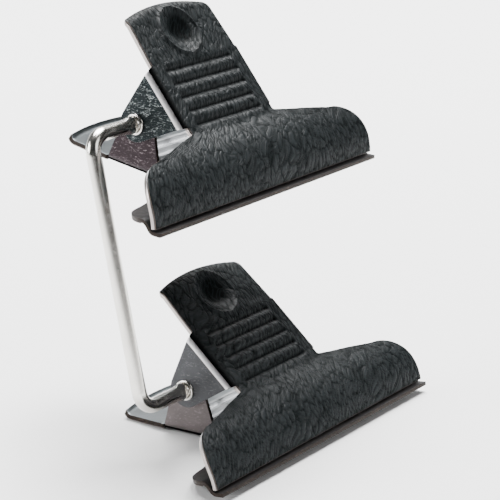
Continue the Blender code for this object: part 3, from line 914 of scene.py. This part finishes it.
def make_clip(tag, jaw_body, matrix, seed, materials):
    """All the visible pieces of one clip, whose own body has the clip's tag for its name.

    The spring's upper leg rides on the jaw, so that it stays under the handle that it pushes.
    """
    inner_span = EAR_SPAN - 2 * (PLATE_THICKNESS + EAR_CLEARANCE)
    outer = Sheet(outer_stretches(), EAR_SPAN, OUTER_NECK_FORWARD, 1.0)
    inner = Sheet(inner_stretches(), inner_span, INNER_NECK_FORWARD, 0.0)
    rows = (
        ("top", outer, False, 0.0, jaw_body,
         (tag + "_ear", "bend", "inner", "inner", "inner", "rim")),
        ("bottom", inner, True, GUTTER_SKIN_STOP, tag,
         (tag + "_low_ear", tag + "_low_ear", "inner", "jaw", tag + "_back", "lower_rim")),
    )
    for number, (side, sheet, flipped, stop, body, slots) in enumerate(rows):
        faces = [materials[slot] for slot in slots]
        plate = plate_object(f"{tag}_{side}_pressed_plate", sheet, flipped, faces)
        adopt(plate, matrix, body, f"{tag}_{side}_plate")
        skin = skin_object(
            f"{tag}_{side}_grained_skin", sheet, flipped, stop, seed + number,
            materials["leatherette"])
        adopt(skin, matrix, body, f"{tag}_{side}_leatherette")
    for name, side in (("left", -1), ("right", 1)):
        eyelet = eyelet_object(f"{tag}_{name}_rolled_eyelet", side, materials["zinc"])
        adopt(eyelet, matrix, tag, f"{tag}_{name}_eyelet")
    wire = spring_points()
    halves = (("coiled_spring", wire[1:], tag), ("spring_leg", wire[:3], jaw_body))
    for name, points, body in halves:
        spring = wire_object(f"{tag}_{name}", points, WIRE_DIAMETER, 5)
        spring.data.materials.append(materials["spring"])
        adopt(spring, matrix, body, f"{tag}_torsion_spring")


# ---------------------------------------------------------------- the rod

def leg_points(height, towards):
    """Points of one leg from its free end round its bend, at a height along the rod."""
    corner = -(EAR_SPAN / 2 + LEG_REACH)
    free = (
        EAR_SPAN / 2 + FACE_CLEARANCE + EYELET_FLANGE_THICKNESS
        + PINCH_GAP + PINCH_LENGTH + LEG_END)
    points = [(x, 0.0, height) for x in np.arange(free, corner + BEND_RADIUS, -0.2)]
    for turn in np.radians(np.arange(0.0, 91.0, 5.0)):
        points.append((
            corner + BEND_RADIUS * (1.0 - math.sin(turn)), 0.0,
            height + towards * BEND_RADIUS * (1.0 - math.cos(turn))))
    return points


def make_rod(place, lean, spacing, material):
    """The bent rod, with two soft pinches on each leg."""
    points = leg_points(0.0, 1) + leg_points(spacing, -1)[::-1]
    rod = wire_object("bent_rod", points, ROD_DIAMETER, 10)
    soften(rod, ROD_EDGE)
    settle(rod)
    near = EAR_SPAN / 2 + FACE_CLEARANCE + EYELET_FLANGE_THICKNESS + FLANGE_GAP
    reach = PINCH_GAP + PINCH_LENGTH + FAR_RAMP_REACH
    for vert in rod.data.vertices:
        inside = abs(vert.co.x) / MM - near
        share = float(min(
            smooth_step(inside / NEAR_RAMP),
            smooth_step((reach - inside) / FAR_RAMP)))
        axis = 0.0 if vert.co.z < spacing * 0.5 * MM else spacing * MM
        if abs(vert.co.z - axis) > ROD_DIAMETER * MM:
            continue
        vert.co.z = axis + (vert.co.z - axis) * (1.0 + (PINCH_HEIGHT - 1.0) * share)
        vert.co.y *= 1.0 + (PINCH_WIDTH - 1.0) * share
    rod.data.materials.append(material)
    return adopt(rod, clip_matrix(place, -lean), "rod", "link_rod")


# ---------------------------------------------------------------- stage

def make_stage(low):
    """A pale floor that sweeps up into a backdrop behind the clip."""
    width, front, back, radius = 6.0, -3.0, 2.2, 1.2
    outline = [(front, 0.0), (back, 0.0)]
    for turn in np.radians(np.arange(10.0, 91.0, 10.0)):
        outline.append((back + radius * math.sin(turn), radius * (1.0 - math.cos(turn))))
    outline.append((back + radius, 4.0))
    bm = bmesh.new()
    rings = [[bm.verts.new((x, y, z)) for y, z in outline] for x in (-width, width)]
    for first in range(len(outline) - 1):
        face = bm.faces.new((
            rings[0][first], rings[1][first], rings[1][first + 1], rings[0][first + 1]))
        face.smooth = True
    floor = mesh_object("pale_floor", bm)
    floor.matrix_world = (
        Matrix.Translation((0.0, 0.0, low - 0.0001))
        @ Matrix.Rotation(math.radians(-CAMERA_AZIMUTH), 4, "Z"))
    nodes = Nodes("pale_floor", 0.0, 0.2)
    patches = nodes.noise(1.5, 2.0)
    colour = nodes.mix(patches, (0.9, 0.9, 0.9), (0.92, 0.92, 0.92))
    floor.data.materials.append(nodes.finish(colour, nodes.span(patches, 0.75, 0.85)))


def add_light(name, place, target, size, power):
    """A soft square lamp that faces the clip."""
    lamp = bpy.data.lights.new(name, "AREA")
    lamp.shape = "SQUARE"
    lamp.size = size
    lamp.energy = power
    obj = link_object(name, lamp)
    obj.location = place
    obj.rotation_euler = (Vector(target) - Vector(place)).to_track_quat("-Z", "Y").to_euler()


def make_lights(middle):
    """Plain soft studio light from above, the left and the right."""
    world = bpy.data.worlds.new("studio")
    world.use_nodes = True
    tree = world.node_tree
    background = tree.nodes["Background"]
    place = tree.nodes.new("ShaderNodeTexCoord")
    left = tree.nodes.new("ShaderNodeVectorMath")
    left.operation = "DOT_PRODUCT"
    left.inputs[1].default_value = (
        -math.cos(math.radians(CAMERA_AZIMUTH)), math.sin(math.radians(CAMERA_AZIMUTH)), 0.0)
    tree.links.new(place.outputs["Generated"], left.inputs[0])
    strength = tree.nodes.new("ShaderNodeMapRange")
    for key, value in (("From Min", -0.4), ("From Max", 0.9), ("To Min", 0.06), ("To Max", 0.9)):
        strength.inputs[key].default_value = value
    tree.links.new(left.outputs["Value"], strength.inputs["Value"])
    tree.links.new(strength.outputs["Result"], background.inputs["Strength"])
    bpy.context.scene.world = world
    add_light("key", (0.35, -0.1, 1.35), middle, 0.6, 22.0)
    add_light("left_card", (-0.8, 0.75, 0.45), middle, 0.6, 14.0)
    add_light("right_fill", (0.1, -1.3, 0.8), middle, 0.8, 6.0)
    add_light("floor_wash", (0.75, 0.5, 1.6), (0.8, 0.55, 0.0), 1.4, 140.0)


def make_camera():
    """The camera at the photographed angle."""
    camera = link_object("camera", bpy.data.cameras.new("camera"))
    camera.data.lens = CAMERA_LENS
    camera.data.sensor_width = 36.0
    camera.data.clip_start = 0.01
    camera.location = CAMERA_PLACE
    aim = Euler((math.radians(90.0 - CAMERA_DROP), 0.0, math.radians(-CAMERA_AZIMUTH)))
    roll = Matrix.Rotation(math.radians(CAMERA_ROLL), 4, "Z")
    camera.rotation_euler = (aim.to_matrix().to_4x4() @ roll).to_euler()
    bpy.context.scene.camera = camera


# ---------------------------------------------------------------- the scene

pivots = {joint["name"]: Vector(joint["pos_m"]) for joint in frame["joints"]}
lower, upper = pivots["lower_swivel"], pivots["upper_swivel"]
climb = upper - lower
materials = {
    "leatherette": leatherette_material(),
    "upper_clip_ear": scratched_steel(
        "dark_scratched_steel", (0.006, 0.009, 0.010), (0.4, 0.44, 0.44), 0.045, 1.0),
    "lower_clip_ear": scratched_steel(
        "grey_sheet_steel", (0.045, 0.046, 0.049), (0.2, 0.2, 0.21), 0.05, 0.7),
    "upper_clip_low_ear": scratched_steel(
        "purple_brown_steel", (0.016, 0.011, 0.013), (0.26, 0.215, 0.225), 0.05, 1.0),
    "lower_clip_low_ear": scratched_steel(
        "brown_grey_steel", (0.085, 0.073, 0.073), (0.26, 0.23, 0.23), 0.04, 0.8),
    "upper_clip_back": satin_steel(
        "dark_inner_face", (0.02, 0.03, 0.034), (0.12, 0.13, 0.135), 0.3),
    "lower_clip_back": satin_steel(
        "grey_inner_face", (0.12, 0.135, 0.14), (0.24, 0.26, 0.27), 0.3),
    # Painted shade: the bottom plate's jaw is near-black, darker than the same steel's inner
    # faces, for the shade under the top lip and inside the mouth
    "jaw": scratched_steel(
        "dark_jaw_steel", (0.012, 0.011, 0.011), (0.04, 0.036, 0.033), 0.02, 0.6, 0.1),
    "bend": satin_steel("bright_bend", (0.5, 0.49, 0.5), (0.8, 0.79, 0.8), 0.42),
    "inner": satin_steel("satin_inner_face", (0.24, 0.25, 0.26), (0.30, 0.31, 0.32), 0.44),
    "rim": satin_steel("pale_cut_edge", (0.24, 0.21, 0.20), (0.5, 0.46, 0.44), 0.3),
    # Painted shade: the bottom plate's cut edges are near-black, darker than the top plate's pale
    # edges, for the shade under the top lip; the brown is their own tone
    "lower_rim": scratched_steel(
        "dark_cut_edge", (0.012, 0.008, 0.006), (0.16, 0.115, 0.09), 0.02, 0.7, 0.1),
    "zinc": satin_steel("bright_zinc", (0.62, 0.60, 0.55), (0.82, 0.80, 0.76), 0.2, 1.0),
    "spring": satin_steel("spring_wire", (0.3, 0.29, 0.28), (0.42, 0.41, 0.4), 0.3, 1.0),
}
make_clip("lower_clip", "lower_jaw", clip_matrix(lower, LOWER_CLIP_PITCH), 20, materials)
make_clip("upper_clip", "upper_jaw", clip_matrix(upper, UPPER_CLIP_PITCH), 60, materials)
lean = math.degrees(math.atan2(climb.y, climb.z))
make_rod(lower, lean, climb.length / MM, materials["zinc"])
make_stage(cad_box[0][2])
make_lights((lower + upper) / 2)
make_camera()
